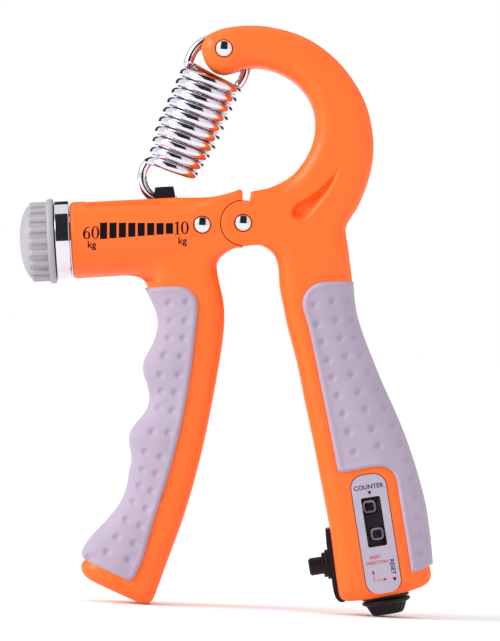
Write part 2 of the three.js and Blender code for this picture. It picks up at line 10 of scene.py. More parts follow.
import bmesh
import bpy
import numpy as np
from mathutils import Matrix, Vector
from mathutils.geometry import delaunay_2d_cdt


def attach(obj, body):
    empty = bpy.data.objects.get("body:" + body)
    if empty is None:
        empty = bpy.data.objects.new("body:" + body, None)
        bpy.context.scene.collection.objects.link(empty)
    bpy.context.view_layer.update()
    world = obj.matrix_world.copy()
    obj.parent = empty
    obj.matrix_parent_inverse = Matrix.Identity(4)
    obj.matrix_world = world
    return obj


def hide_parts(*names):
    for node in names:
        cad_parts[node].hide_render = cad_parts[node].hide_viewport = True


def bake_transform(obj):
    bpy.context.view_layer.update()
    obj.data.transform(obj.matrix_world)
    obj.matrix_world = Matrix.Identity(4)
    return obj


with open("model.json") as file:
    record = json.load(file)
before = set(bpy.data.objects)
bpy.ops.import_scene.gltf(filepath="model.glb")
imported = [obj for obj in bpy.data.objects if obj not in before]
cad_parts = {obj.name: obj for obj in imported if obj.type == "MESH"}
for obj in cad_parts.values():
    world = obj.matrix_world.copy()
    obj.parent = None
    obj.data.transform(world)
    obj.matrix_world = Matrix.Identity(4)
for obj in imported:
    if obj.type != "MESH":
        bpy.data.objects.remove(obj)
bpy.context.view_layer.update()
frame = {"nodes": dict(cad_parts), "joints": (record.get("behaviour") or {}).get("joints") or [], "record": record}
joints = {joint["name"]: joint for joint in frame["joints"]}
slot_of = {part["node"]: part["material_slot"] for part in frame["record"]["subparts"]}

# ---- places, in millimetres ----
SPRING_PIN = (-5.2, 47.2)
SCREW_END_PIN = (-11.1, -0.5)
BARREL_START = (-45.8, -4.5)
BARREL_TILT = math.radians(3)
BARREL_RADIUS = 10.3
COUNTER_PLACE = (35.9, -84.1)
COUNTER_TILT = math.radians(9)
BODY_DEPTH = 9.5
PAD_RISE = 0.75  # of the pads above the shells

pivot = Vector(joints["squeeze"]["pos_m"])
to_pin = Vector(joints["spring_swing"]["pos_m"]) - pivot
stance = math.atan2(to_pin.z, to_pin.x) - math.atan2(SPRING_PIN[1], SPRING_PIN[0])
DESIGN = Matrix.Translation(pivot) @ Matrix.Rotation(-stance, 4, "Y") @ Matrix.Scale(0.001, 4)


def local(place, tilt):
    return DESIGN @ Matrix.Translation((place[0], 0, place[1])) @ Matrix.Rotation(-tilt, 4, "Y")


BARREL = local(BARREL_START, BARREL_TILT)
COUNTER = local(COUNTER_PLACE, COUNTER_TILT)


# ---- materials ----
def finish(name, color, roughness, metallic=0.0, spread=0.04, grain=3000, bump=0.0, mottle=160, **sockets):
    """A moulded or plated finish: colour mottled by spread, roughness varied, and a fine grain in relief."""
    material = bpy.data.materials.new(name)
    material.use_nodes = True
    nodes, links = material.node_tree.nodes, material.node_tree.links
    shader = nodes["Principled BSDF"]
    shader.inputs["Metallic"].default_value = metallic
    for socket, value in sockets.items():
        shader.inputs[socket.replace("_", " ")].default_value = value
    place = nodes.new("ShaderNodeTexCoord")

    def noise(scale, detail):
        texture = nodes.new("ShaderNodeTexNoise")
        texture.inputs["Scale"].default_value = scale
        texture.inputs["Detail"].default_value = detail
        links.new(place.outputs["Object"], texture.inputs["Vector"])
        return texture.outputs["Fac"]

    ramp = nodes.new("ShaderNodeValToRGB")
    low, high = ramp.color_ramp.elements
    low.position, high.position = 0.3, 0.7
    low.color = (*(channel * (1 - spread) for channel in color), 1)
    high.color = (*(min(1, channel * (1 + spread)) for channel in color), 1)
    links.new(noise(mottle, 3), ramp.inputs["Fac"])
    links.new(ramp.outputs["Color"], shader.inputs["Base Color"])
    spans = nodes.new("ShaderNodeMapRange")
    spans.inputs["To Min"].default_value = roughness * 0.85
    spans.inputs["To Max"].default_value = min(1, roughness * 1.15)
    fine = noise(grain, 2)
    links.new(fine, spans.inputs["Value"])
    links.new(spans.outputs["Result"], shader.inputs["Roughness"])
    if bump:
        relief = nodes.new("ShaderNodeBump")
        relief.inputs["Strength"].default_value = bump
        relief.inputs["Distance"].default_value = 0.00004
        links.new(fine, relief.inputs["Height"])
        links.new(relief.outputs["Normal"], shader.inputs["Normal"])
    return material


FINISHES = {
    "orange_shell": finish("orange_shell", (0.95, 0.134, 0.012), 0.42, bump=0.12, spread=0.02,
                           Specular_IOR_Level=0.35),
    "soft_pad": finish("soft_pad", (0.365, 0.3, 0.4), 0.68, bump=0.5, grain=5200, spread=0.035,
                       Sheen_Weight=0.15),
    "knob_plastic": finish("knob_plastic", (0.36, 0.335, 0.37), 0.5, bump=0.3, grain=4200),
    "black_plastic": finish("black_plastic", (0.009, 0.004, 0.007), 0.4, bump=0.25, spread=0.2,
                            Specular_IOR_Level=0.2),
    "white_plastic": finish("white_plastic", (0.8, 0.79, 0.77), 0.5, bump=0.2),
    "label": finish("label", (0.38, 0.34, 0.43), 0.55, bump=0.2, grain=6000),
    "chrome": finish("chrome", (0.72, 0.71, 0.78), 0.06, metallic=1.0, spread=0.02, grain=900),
    "steel": finish("steel", (0.5, 0.5, 0.52), 0.34, metallic=1.0, bump=0.3),
    "brass": finish("brass", (0.7, 0.52, 0.22), 0.3, metallic=1.0, bump=0.2),
    "lens": finish("lens", (0.9, 0.88, 0.95), 0.04, Transmission_Weight=1.0, IOR=1.15, spread=0.01),
}
BLACK_PRINT = finish("black_print", (0.004, 0.003, 0.004), 0.6, bump=0.1, Specular_IOR_Level=0.1)
RED_PRINT = finish("red_print", (0.5, 0.01, 0.03), 0.5, bump=0.1)
PALE_PRINT = finish("pale_print", (0.95, 0.8, 0.93), 0.5, bump=0.1)


# ---- curves in the working plane ----
def spline(points, step=0.6):
    """A smooth line through the points, resampled about every step."""
    given = np.array(points, float)
    ends = [2 * given[0] - given[1], *given, 2 * given[-1] - given[-2]]
    line = []
    for before, start, end, after in zip(ends, ends[1:], ends[2:], ends[3:]):
        t = np.linspace(0, 1, 9)[:-1, None]
        line.append(0.5 * (2 * start + (end - before) * t + (2 * before - 5 * start + 4 * end - after) * t**2
                           + (3 * start - before - 3 * end + after) * t**3))
    line = np.vstack([*line, given[-1:]])
    lengths = np.concatenate([[0], np.cumsum(np.linalg.norm(np.diff(line, axis=0), axis=1))])
    wanted = np.linspace(0, lengths[-1], max(2, round(lengths[-1] / step) + 1))
    return np.column_stack([np.interp(wanted, lengths, axis) for axis in line.T])


def outline(*parts, step=0.6):
    """Smooth and straight parts end to end, with a corner where two of them meet."""
    joined = []
    for i, part in enumerate(parts):
        following = parts[(i + 1) % len(parts)][0]
        joined.append(spline(part, step))
        gap = np.linalg.norm(np.array(following) - part[-1])
        if gap > 0.05:
            joined.append(spline([part[-1], following], step)[1:-1])
        else:
            joined[-1] = joined[-1][:-1]
    return np.vstack(joined)


def arc(centre, radius, start, end, steps):
    angles = np.radians(np.linspace(start, end, steps + 1))
    return np.column_stack([centre[0] + radius * np.cos(angles), centre[1] + radius * np.sin(angles)])


def rounded_rectangle(width, height, corner, centre=(0, 0), steps=10):
    x, z = width / 2 - corner, height / 2 - corner
    corners = [(x, z, 0), (-x, z, 90), (-x, -z, 180), (x, -z, 270)]
    return np.vstack([arc((centre[0] + cx, centre[1] + cz), corner, start, start + 90, steps)
                      for cx, cz, start in corners])


def distance(points, line, closed=True):
    """From each point to the nearest place on the line."""
    starts = line if closed else line[:-1]
    spans = (np.roll(line, -1, axis=0) if closed else line[1:]) - starts
    lengths = np.maximum((spans**2).sum(1), 1e-12)
    nearest = []
    for block in np.array_split(points, max(1, len(points) // 1500)):
        offset = block[:, None] - starts[None]
        along = np.clip((offset * spans).sum(2) / lengths, 0, 1)
        nearest.append(np.sqrt(((offset - along[..., None] * spans) ** 2).sum(2).min(1)))
    return np.concatenate(nearest)


def inside(points, line):
    following = np.roll(line, -1, axis=0)
    found = []
    for block in np.array_split(points, max(1, len(points) // 1500)):
        x, z = block[:, :1], block[:, 1:]
        crosses = (line[:, 1] > z) != (following[:, 1] > z)
        rise = np.where(following[:, 1] == line[:, 1], 1e-12, following[:, 1] - line[:, 1])
        meets = line[:, 0] + (z - line[:, 1]) * (following[:, 0] - line[:, 0]) / rise
        found.append((crosses & (x < meets)).sum(1) % 2 == 1)
    return np.concatenate(found)


def smoothstep(low, high, value):
    t = np.clip((value - low) / (high - low), 0, 1)
    return t * t * (3 - 2 * t)


def quarter(t):
    """A quarter round that rises from 0 to 1."""
    return np.sqrt(1 - (1 - np.clip(t, 0, 1)) ** 2)


def inwards(line):
    """The line's inward normals."""
    area = (line[:, 0] * np.roll(line[:, 1], -1) - np.roll(line[:, 0], -1) * line[:, 1]).sum()
    along = np.roll(line, -1, axis=0) - np.roll(line, 1, axis=0)
    along /= np.maximum(np.linalg.norm(along, axis=1, keepdims=True), 1e-9)
    return np.column_stack([-along[:, 1], along[:, 0]]) * (1 if area > 0 else -1)


# ---- meshes ----
def add(name, vertices, faces, material, body=None, place=DESIGN, hides=(), slot=None, crease=38):
    """A piece from vertices in its place's own axes, riding on body if one is given."""
    matrix = np.array(place)
    world = np.array(vertices, float) @ matrix[:3, :3].T + matrix[:3, 3]
    mesh = bpy.data.meshes.new(name)
    mesh.from_pydata(world.tolist(), [], [list(map(int, face)) for face in faces])
    mesh.materials.append(material)
    obj = bpy.data.objects.new(name, mesh)
    bpy.context.scene.collection.objects.link(obj)
    tidy(obj, crease)
    if body:
        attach(obj, body)
        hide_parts(*hides)
    return obj


def tidy(obj, crease=38):
    """Faces turned outwards, smooth but for edges sharper than crease degrees."""
    edit = bmesh.new()
    edit.from_mesh(obj.data)
    bmesh.ops.remove_doubles(edit, verts=edit.verts, dist=1e-7)
    bmesh.ops.recalc_face_normals(edit, faces=edit.faces)
    edit.to_mesh(obj.data)
    edit.free()
    obj.data.shade_smooth()
    obj.data.set_sharp_from_angle(angle=math.radians(crease))


def carve(obj, cutters, operation="DIFFERENCE", crease=38):
    """Takes the cutters away from obj, or adds them to it."""
    for cutter in cutters:
        modifier = obj.modifiers.new("carve", "BOOLEAN")
        modifier.operation, modifier.solver, modifier.object = operation, "MANIFOLD", cutter
    bpy.context.view_layer.update()
    graph = bpy.context.evaluated_depsgraph_get()
    made = bpy.data.meshes.new_from_object(obj.evaluated_get(graph))
    obj.modifiers.clear()
    obj.data = made
    for cutter in cutters:
        bpy.data.objects.remove(cutter)
    tidy(obj, crease)
    return obj


def prism(line, low, high):
    """An x, z outline as a solid from y = low to y = high."""
    count = len(line)
    vertices = [(x, y, z) for y in (low, high) for x, z in line]
    sides = [(i, (i + 1) % count, count + (i + 1) % count, count + i) for i in range(count)]
    return vertices, [*sides, list(range(count)), list(range(2 * count - 1, count - 1, -1))]


def lathe(profile, steps=64, axis="y", waves=None):
    """A profile of (radius, distance) turned about an axis. waves(angle, distance) adds to the radius."""
    angles = np.linspace(0, 2 * math.pi, steps, endpoint=False)
    vertices = []
    for radius, along in profile:
        reach = radius + (waves(angles, along) if waves and radius > 0 else 0 * angles)
        u, v, w = reach * np.cos(angles), reach * np.sin(angles), np.full(steps, along)
        vertices += list(zip(*{"x": (w, u, v), "y": (u, w, v), "z": (u, v, w)}[axis]))
    faces = []
    for ring in range(len(profile) - 1):
        for i in range(steps):
            a, b = ring * steps + i, ring * steps + (i + 1) % steps
            faces.append((a, b, b + steps, a + steps))
    closed = profile[0] == profile[-1]
    if not closed and profile[0][0] > 0:
        faces.append(list(range(steps)))
    if not closed and profile[-1][0] > 0:
        faces.append(list(range((len(profile) - 1) * steps, len(profile) * steps)))
    return vertices, [face for face in faces if len(set(face)) > 2]


def cutter(shape, place=DESIGN):
    return add("cutter", *shape, None, place=place)


def shift(shape, x=0.0, y=0.0, z=0.0):
    vertices, faces = shape
    return [(a + x, b + y, c + z) for a, b, c in vertices], faces


def cylinder(radius, low, high, at=(0, 0), axis="y", steps=64):
    return shift(lathe([(radius, low), (radius, high)], steps, axis), at[0], 0, at[1])


def box(x, y, z):
    return prism([(x[0], z[0]), (x[1], z[0]), (x[1], z[1]), (x[0], z[1])], *y)


RINGS = (0.1, 0.3, 0.6, 1.0, 1.5, 2.1, 2.8, 3.6, 4.5)
SEAM = 0.2  # half width and depth of the parting line's groove


def moulded(name, edge, front, rear, material, body, extra=(), grid=1.25, **details):
    """A closed body over the outline, with a parting line. front and rear give its faces' heights."""
    normals = inwards(edge)
    points = [edge]
    for depth in RINGS:
        ring = edge + normals * depth
        points.append(ring[(distance(ring, edge) > depth * 0.97) & inside(ring, edge)])
    low, high = edge.min(0), edge.max(0)
    columns, rows = np.arange(low[0], high[0], grid), np.arange(low[1], high[1], grid * 0.866)
    fill = np.array([(x + grid / 2 * (j % 2), z) for j, z in enumerate(rows) for x in columns])
    fill = fill[inside(fill, edge)]
    points.append(fill[distance(fill, edge) > RINGS[-1] + 0.5])
    if len(extra):
        wanted = np.vstack(extra)
        wanted = wanted[inside(wanted, edge)]
        wanted = wanted[distance(wanted, edge) > 0.15]
        crowded = np.vstack(points[1:])
        crowded = crowded[distance_to_points(crowded, wanted) > 0.4]
        points = [edge, crowded, wanted]
    flat = np.vstack(points)
    count = len(edge)
    ends = [(i, (i + 1) % count) for i in range(count)]
    found, _, faces, origins, _, _ = delaunay_2d_cdt([Vector(p) for p in flat], ends, [], 1, 1e-6)
    flat = np.array([tuple(p) for p in found])
    rim = [0] * count
    for index, sources in enumerate(origins):
        for source in sources:
            if source < count:
                rim[source] = index
    total = len(flat)
    vertices = [*np.column_stack([flat[:, 0], -front(flat), flat[:, 1]]),
                *np.column_stack([flat[:, 0], rear(flat), flat[:, 1]])]
    whole = [*faces, *[[total + i for i in reversed(face)] for face in faces]]
    groove = edge + normals * SEAM
    for y, line in ((-SEAM, edge), (0, groove), (SEAM, edge)):
        vertices += [(x, y, z) for x, z in line]
    bands = [rim, *[list(range(2 * total + k * count, 2 * total + (k + 1) * count)) for k in range(3)],
             [total + i for i in rim]]
    for upper, lower in zip(bands, bands[1:]):
        for i in range(count):
            j = (i + 1) % count
            whole.append((upper[i], upper[j], lower[j], lower[i]))
    return add(name, vertices, whole, material, body, **details)


def distance_to_points(points, targets):
    nearest = []
    for block in np.array_split(points, max(1, len(points) // 1000)):
        nearest.append(np.sqrt(((block[:, None] - targets[None]) ** 2).sum(2).min(1)))
    return np.concatenate(nearest)


def around(centre, radii, steps):
    return np.vstack([arc(centre, radius, 0, 360 - 360 / steps, steps - 1) for radius in radii])


# ---- outlines ----
LEFT_TOP = [(-47.25, 4.6), (-47.0, 5.3), (-46.3, 5.75), (-44.4, 5.9), (-31.9, 6.55), (-22, 6.9),
            (-10.1, 7.0), (-5.4, 7.7), (-2.6, 8.5), (-1.2, 9.05), (-0.6, 9.0), (-0.25, 8.4), (-0.2, 7.0)]
LEFT_INNER = [(-0.2, -6.6), (-1.8, -6.6), (-3.7, -7.3), (-5.9, -8.9), (-7.0, -10.6), (-7.2, -12.4),
              (-6.6, -16), (-5.6, -20.4), (-5.15, -25), (-5.4, -30), (-6.4, -37.4), (-8.3, -48),
              (-10.5, -58.9), (-13.2, -69.8), (-16.5, -80.7), (-20.5, -91.5), (-22.6, -97.3),
              (-23.9, -100.7), (-24.8, -102.4), (-26.3, -103.15), (-28.2, -102.9), (-31.5, -101.5),
              (-40.6, -97.3), (-43.2, -95.4), (-44.0, -93.5), (-43.7, -92.1), (-42.4, -91.3)]
LEFT_BOTTOM = [(-26.0, -17.5), (-26.5, -16.1), (-27.7, -15.0), (-29.4, -14.35), (-32, -14.15),
               (-36, -14.35), (-44.6, -14.85), (-45.7, -14.8), (-46.15, -14.2), (-46.2, -13.4)]
FINGERS = [(-43.4, -91.1), (-44.0, -89.6), (-43.3, -87.7), (-41.4, -85.0), (-37.3, -80.7), (-33.8, -76.3),
           (-31.9, -72.0), (-31.1, -67.6), (-30.5, -64.4), (-30.8, -61.1), (-31.1, -58.9), (-30.8, -56.7),
           (-29.5, -54.6), (-27.6, -52.4), (-26.2, -50.2), (-25.6, -48.0), (-25.6, -46.4), (-26.2, -43.7),
           (-27.0, -41.5), (-27.3, -39.1), (-27.0, -37.2), (-25.9, -35.0), (-24.6, -32.8), (-23.5, -29.5),
           (-23.2, -26.8), (-23.7, -24.1), (-24.6, -21.9), (-25.6, -19.7), (-26.8, -17.6)]
left_edge = outline(
    LEFT_TOP, LEFT_INNER, [(-38, -88.5), (-28.5, -70), (-24, -50), (-21.5, -30), (-24.4, -20)], LEFT_BOTTOM,
)
left_silhouette = outline(LEFT_TOP, LEFT_INNER, FINGERS, LEFT_BOTTOM)
left_pad_edge = outline(
    FINGERS,
    [(-26.8, -17.6), (-19.2, -17.1), (-16.6, -17.35), (-14.3, -18.3), (-12.8, -20.0), (-12.25, -22.4),
     (-12.7, -28), (-13.9, -38.3), (-15.6, -49), (-17.7, -58.9), (-20.6, -69.5), (-23.9, -79.6),
     (-27.0, -90.4), (-28.6, -94.2), (-29.5, -95.9), (-30.6, -96.7), (-32.0, -96.4), (-38, -93.6),
     (-43.4, -91.1)],
)

KNUCKLE = arc((0, 0), 6.15, -90, -286, 40).tolist()
ARM_INNER = [(2.1, 8.45), (4.4, 8.95), (7.5, 9.7), (12.9, 12.6), (16.7, 17.1), (18.9, 21.9), (19.6, 26.6),
             (18.9, 31.2), (17, 35), (13.8, 38.4), (10.2, 40.6), (7.0, 41.7), (4.0, 42.25), (0.7, 42.0),
             (-3.2, 40.85), (-5.6, 40.5), (-8.0, 41.3), (-9.9, 43.2), (-11.0, 45.5), (-11.35, 47.9),
             (-9.9, 50.7), (-8.4, 51.6), (-6.3, 52.5), (-3.2, 53.2), (0.7, 53.55), (4.5, 53.5),
             (7.5, 53.1), (12.4, 52.0), (17.4, 50.0), (22.1, 47.0), (26.9, 42.5), (30.9, 36.9),
             (33.6, 31.2), (35.0, 24.9), (35.3, 20.3), (34.9, 15.6), (33.5, 10.2), (31.2, 4.6),
             (29.1, 1.3), (28.1, -0.6), (27.75, -2.4), (28.1, -4.7), (28.6, -8.0), (29.1, -12.0),
             (29.6, -15.9)]
RIGHT_FOOT = [(50.6, -93.2), (51.0, -95.4), (50.5, -97.0), (49.2, -98.2), (46.6, -99.3), (42, -100.6),
              (37.0, -101.6), (31.9, -102.3), (28.3, -102.5), (26.6, -101.9), (25.9, -100.4), (25.2, -96)]
RIGHT_INNER = [(25.2, -96), (23.6, -83.8), (22.7, -78.7), (21.0, -69.8), (19.2, -60.4), (16.8, -49),
               (15, -40), (13.6, -34), (12.0, -28), (10.8, -22), (9.95, -17.7), (9.65, -13.6),
               (9.2, -10.4), (8.1, -8.2), (6.4, -6.7), (4.4, -5.85), (2, -5.9), (0, -6.15)]
OUTER_GRIP = [(29.9, -15.8), (30.2, -20.0), (30.8, -24.2), (32.0, -28.5), (33.6, -33.0), (35.3, -37.2),
              (38.0, -43.7), (41.0, -50.3), (43.7, -56.8), (46.0, -63.3), (48.0, -69.9), (49.6, -76.4),
              (50.6, -83.0), (51.3, -89.4), (51.5, -92.4)]
right_edge = outline(KNUCKLE, ARM_INNER, [(28.6, -20), (34.5, -40), (41.5, -60), (46.5, -75), (48.3, -88)],
                     RIGHT_FOOT, RIGHT_INNER)
right_silhouette = outline(KNUCKLE, ARM_INNER, OUTER_GRIP, RIGHT_FOOT, RIGHT_INNER)
right_pad_edge = outline(
    OUTER_GRIP,
    [(51.5, -92.4), (49.5, -93.4), (46.8, -94.5), (45.7, -94.6), (45.3, -93.4), (44.2, -86),
     (42.9, -78.3), (41.6, -70.5), (40.9, -68.2), (39.5, -66.7), (37.6, -66.0), (35.4, -66.05),
     (31, -66.8), (27.2, -67.5), (26.0, -67.3), (25.4, -66.2), (24.6, -62), (20.9, -43.6), (17.8, -29),
     (16.2, -23.4), (16.1, -20.8), (17.2, -18.4), (19.4, -16.6), (22.4, -15.9), (29.9, -15.8)],
)
SCOOP_INNER = [(27.05, 20.6), (26.5, 17.6), (25.2, 14.8), (23.2, 12.1), (21.0, 9.8), (18.6, 7.8),
               (15.9, 6.2), (13.9, 5.0), (12.9, 3.2), (13.2, 1.4), (14.4, 0.3)]
SCOOP_OUTER = [(14.4, 0.3), (16.2, 0.2), (18.2, 1.5), (21.1, 5.0), (24.5, 9.7), (26.6, 14.8),
               (27.15, 18.2), (27.05, 20.6)]
scoop_edge = outline(SCOOP_INNER, SCOOP_OUTER, step=0.4)
scoop_inner, scoop_outer = spline(SCOOP_INNER, 0.4), spline(SCOOP_OUTER, 0.4)
LEFT_DIMPLES = [(-20.1, -21.7), (-19.7, -26.5), (-20.2, -31.2), (-21.3, -35.8), (-22.4, -41.2),
                (-22.1, -45.6), (-22.7, -49.9), (-24.6, -56.5), (-26.5, -61.9), (-27.2, -66.8),
                (-28.1, -71.2), (-29.7, -75.5), (-31.6, -80.4), (-34.1, -85.0), (-36.8, -89.1),
                (-15.3, -21.4), (-15.6, -26.5), (-16.1, -31.2), (-16.8, -36.1), (-17.5, -41.2),
                (-18.3, -45.9), (-19.1, -50.8), (-20.2, -56.7), (-22.3, -63.3), (-23.5, -67.9),
                (-24.8, -72.5), (-26.2, -77.4), (-27.8, -82.0), (-29.5, -86.7), (-31.1, -91.3)]
RIGHT_DIMPLES = [(19.2, -22.2), (20.0, -27.4), (21.4, -32.3), (22.9, -37.2), (24.1, -41.8), (25.6, -46.7),
                 (27.1, -51.6), (28.5, -56.5), (30.1, -61.9), (24.1, -21.2), (25.1, -26.3), (26.3, -31.2),
                 (27.8, -36.1), (29.3, -41.0), (31.2, -45.9), (33.1, -50.5), (35.0, -55.7), (36.6, -60.3),
                 (28.2, -21.0), (29.0, -26.0), (30.2, -31.0), (31.8, -35.6), (33.9, -40.5), (36.2, -45.1),
                 (38.3, -50.0), (40.4, -54.9), (42.4, -59.8), (44.0, -64.4), (45.3, -69.2), (46.5, -74.5),
                 (47.4, -79.6), (47.7, -84.5), (48.1, -89.4)]
DIMPLE_RADIUS = 1.3
DIMPLE_DEPTH = 0.62
PIN_HOLE = 2.42
LEFT_SCREWS = [(-8.6, -30), (-21.8, -88)]
RIGHT_SCREWS = [(20.5, -6), (27, 30)]


# ---- heights of the faces over the working plane ----
left_grip, right_grip = spline(FINGERS), spline(OUTER_GRIP)
tilt_cos, tilt_sin = math.cos(BARREL_TILT), math.sin(BARREL_TILT)


def lever_height(points, silhouette, grip):
    """Flat faces that fall away a little towards the grip, with rounded edges that are crisp at the pivot."""
    away = smoothstep(6, 15, np.linalg.norm(points, axis=1))
    rounding, drop = 0.6 + 3.6 * away, 0.5 + 3.7 * away
    height = BODY_DEPTH - drop * (1 - quarter(distance(points, silhouette) / rounding))
    return height - 2.0 * (1 - smoothstep(0, 10, distance(points, grip, closed=False)))


def left_surface(points):
    """The round barrel, with rails along its slot, runs into the flat boss and the handle."""
    offset = points - BARREL_START
    along = offset @ (tilt_cos, tilt_sin)
    up = offset @ (-tilt_sin, tilt_cos)
    radius = BARREL_RADIUS - 0.8 * (1 - quarter((along + 0.9) / 0.8))
    tube = np.sqrt(np.maximum(radius**2 - up**2, 1.0))
    rail = 5.3 * quarter((BARREL_RADIUS + 0.05 - up) / 0.7) * smoothstep(0.2, 3.2, along) * (up > 7)
    tube = np.maximum(tube, rail)
    flat = np.maximum(smoothstep(23, 38, along), smoothstep(4, 10, -up) * smoothstep(14, 24, along))
    flat = np.maximum(flat, smoothstep(10.7, 12.7, -up))
    return tube * (1 - flat) + lever_height(points, left_silhouette, left_grip) * flat


def right_surface(points):
    return lever_height(points, right_silhouette, right_grip)


def pad_height(points, surface, edge, dimples=()):
    """A pad stands above the shell, with a rounded lip, and has a dimple at each place given."""
    rim = distance(points, edge)
    lip = 0.3 * np.exp(-(((rim - 0.9) / 0.5) ** 2))
    height = surface(points) + PAD_RISE - 0.8 * (1 - quarter(rim / 0.9)) + lip
    for dimple in dimples:
        reach = np.linalg.norm(points - dimple, axis=1) / DIMPLE_RADIUS
        height = height - DIMPLE_DEPTH * np.clip(1 - reach**2, 0, 1) ** 1.5
    return height


def under_pad(points, surface, edge):
    """The shell is sunk a little where its pad lies."""
    deep = np.where(inside(points, edge), smoothstep(0.2, 1.2, distance(points, edge)), 0)
    return np.maximum(surface(points) - 0.9 * deep, SEAM + 0.4)


def sunk(height, points, holes, radius, depth):
    for hole in holes:
        reach = np.linalg.norm(points - hole, axis=1)
        height = height - depth * (1 - smoothstep(radius - 0.05, radius + 0.05, reach))
        height = height - 0.12 * (1 - smoothstep(radius, radius + 0.4, reach))
    return height


def left_front(points):
    return sunk(under_pad(points, left_surface, left_pad_edge), points, [SCREW_END_PIN], PIN_HOLE, 0.9)


def left_rear(points):
    return sunk(left_front(points), points, LEFT_SCREWS, 2.1, 1.5)


def right_front(points):
    deep = inside(points, scoop_edge) * smoothstep(0, 1.1, distance(points, scoop_inner, closed=False))
    deep = deep * smoothstep(0, 2.8, distance(points, scoop_outer, closed=False))
    height = under_pad(points, right_surface, right_pad_edge) - 2.3 * deep
    return sunk(height, points, [(0, 0), SPRING_PIN], PIN_HOLE, 0.9)


def right_rear(points):
    return sunk(right_front(points), points, RIGHT_SCREWS, 2.1, 1.5)


def left_pad(points):
    return pad_height(points, left_surface, left_pad_edge, LEFT_DIMPLES)


def right_pad(points):
    return pad_height(points, right_surface, right_pad_edge, RIGHT_DIMPLES)


# ---- the two levers ----
hole_rings = (PIN_HOLE - 0.3, PIN_HOLE - 0.06, PIN_HOLE + 0.06, PIN_HOLE + 0.25, PIN_HOLE + 0.55)
screw_rings = (1.8, 2.04, 2.16, 2.35, 2.65)
left_body = moulded(
    "left_shell", left_edge, left_front, left_rear, FINISHES["orange_shell"], "left_handle",
    extra=[around(SCREW_END_PIN, hole_rings, 36), *[around(place, screw_rings, 24) for place in LEFT_SCREWS]],
    hides=["left_front_shell", "left_rear_shell"], slot="orange_shell",
)
seats = [cutter(cylinder(6.3, low, high)) for low, high in ((-20, -4), (4, 20))]
carve(left_body, [*seats, cutter(cylinder(7.5, -5, 33.3, axis="x"), BARREL),
                  cutter(box((3.2, 32.6), (-4.4, 4.4), (0, 20)), BARREL)])
carve(left_body, [cutter(cylinder(5.85, -4, 4))], "UNION")

inner_scoop = inwards(scoop_edge)
right_body = moulded(
    "right_shell", right_edge, right_front, right_rear, FINISHES["orange_shell"], "right_lever",
    extra=[around((0, 0), hole_rings, 36), around(SPRING_PIN, hole_rings, 36),
           *[scoop_edge + inner_scoop * depth for depth in (-0.25, 0.0, 0.25, 0.5, 0.8, 1.2, 1.8)],
           *[around(place, screw_rings, 24) for place in RIGHT_SCREWS]],
    hides=["right_front_shell", "right_rear_shell"], slot="orange_shell",
)
window = rounded_rectangle(5.6, 13.9, 1.0, (0, 3.3))
carve(right_body, [
    cutter(cylinder(6.6, -4.3, 4.3)), cutter(cylinder(10.5, -1.8, 1.8, (-7.85, 43.05))),
    cutter(prism(rounded_rectangle(10, 32.9, 3.7), -20, -8.5), COUNTER),
    cutter(prism(window, -20, 3.6), COUNTER),
    cutter(box((-5.4, 5.4), (-6.2, 5.6), (-5.6, 13.4)), COUNTER),
    cutter(shift(cylinder(3.5, -20, -8.5, axis="x"), z=-6.5), COUNTER),
    cutter(shift(cylinder(1.3, -30, -8, axis="z"), y=-1), COUNTER),
])

for name, edge, face, dimples, body in (
    ("left_grip_pad", left_pad_edge, left_pad, LEFT_DIMPLES, "left_handle"),
    ("right_grip_pad", right_pad_edge, right_pad, RIGHT_DIMPLES, "right_lever"),
):
    moulded(
        name.replace("grip_", ""), edge, face, face, FINISHES["soft_pad"], body, grid=0.9,
        extra=[around(dimple, (0.02, 0.42, 0.78, 1.08, 1.3), 12) for dimple in dimples],
        hides=[name], slot="soft_pad", crease=50,
    )


# ---- pins, screws, collar and knob ----
def dome(radius, base, top, steps=9):
    """The profile of a domed head, from its rim to its crown."""
    angles = np.linspace(0, math.pi / 2, steps)
    return [(radius * math.cos(a), base + (top - base) * math.sin(a)) for a in angles]


half_pin = [(2.3, 8.3), *dome(2.3, 9.1, 10.25)]
pin_profile = [(r, -y) for r, y in reversed(half_pin)] + [(1.8, -8.3), (1.8, 8.3)] + half_pin
for node, (x, z), body in (
    ("pivot_pin", (0, 0), "left_handle"),
    ("screw_end_pin", SCREW_END_PIN, "left_handle"),
    ("spring_pin", SPRING_PIN, "right_lever"),
):
    add(node.replace("_pin", "_rivet"), *shift(lathe(pin_profile, 48), x, 0, z), FINISHES["chrome"], body,
        hides=[node], slot="chrome")

screw_profile = [(0, -5), (1, -5), (1, 7.9), (1.75, 7.9), (1.8, 8.1), (1.8, 8.7), (1.5, 9.05), (0.9, 9.2),
                 (0, 9.2)]
for side, places in (("left", LEFT_SCREWS), ("right", RIGHT_SCREWS)):
    for number, (x, z) in enumerate(places, 1):
        node = f"{side}_shell_screw_{number}"
        screw = add(node.replace("shell_", "cross_"), *shift(lathe(screw_profile, 32), x, 0, z),
                    FINISHES["steel"], "left_handle" if side == "left" else "right_lever", hides=[node],
                    slot="steel")
        bars = [box((x - w, x + w), (8.35, 12), (z - h, z + h)) for w, h in ((1.1, 0.22), (0.22, 1.1))]
        carve(screw, [cutter(bar) for bar in bars])

collar_profile = [(2.8, -5.1), (10.5, -5.1), (10.7, -5.05), (10.8, -4.9), (10.8, -4.8), (10.8, -1.5),
                  (10.8, -1.4), (10.7, -1.25), (10.5, -1.2), (7.2, -1.2), (7.2, 2), (2.8, 2), (2.8, -5.1)]
add("chrome_collar", *lathe(collar_profile, 96, "x"), FINISHES["chrome"], "left_handle", BARREL,
    hides=["barrel_collar"], slot="chrome")

